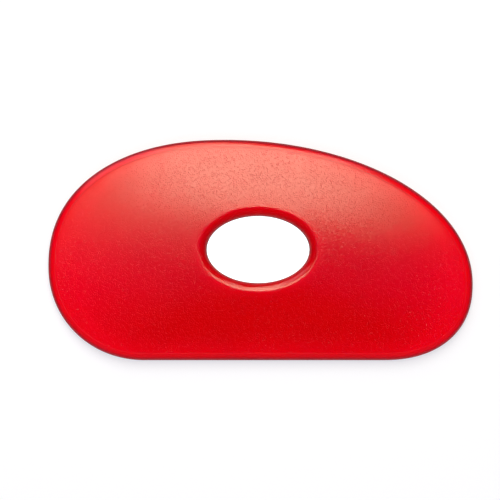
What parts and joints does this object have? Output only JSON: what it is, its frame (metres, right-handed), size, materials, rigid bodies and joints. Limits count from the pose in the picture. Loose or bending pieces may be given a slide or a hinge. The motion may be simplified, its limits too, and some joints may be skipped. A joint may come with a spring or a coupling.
{
  "type": "pottery rib",
  "caption": "Flat hand tool of soft translucent red polymer with a straight edge, a curved edge and an oval finger hole, for shaping and smoothing wet clay.",
  "frame": {"origin": "middle of the bounding box in X and Y, on the plane of the flat back face", "axes": "+X along the straight edge towards the narrower end, +Y from the straight edge towards the curved edge, +Z out of the crowned front face"},
  "size_m": [0.14, 0.0728, 0.0065],
  "materials": {
    "soft_polymer": "matte moulded grain on the faces, satin on the rounded border and the hole's lip"
  },
  "bodies": {
    "root": {"rib": "soft_polymer"}
  },
  "joints": []
}
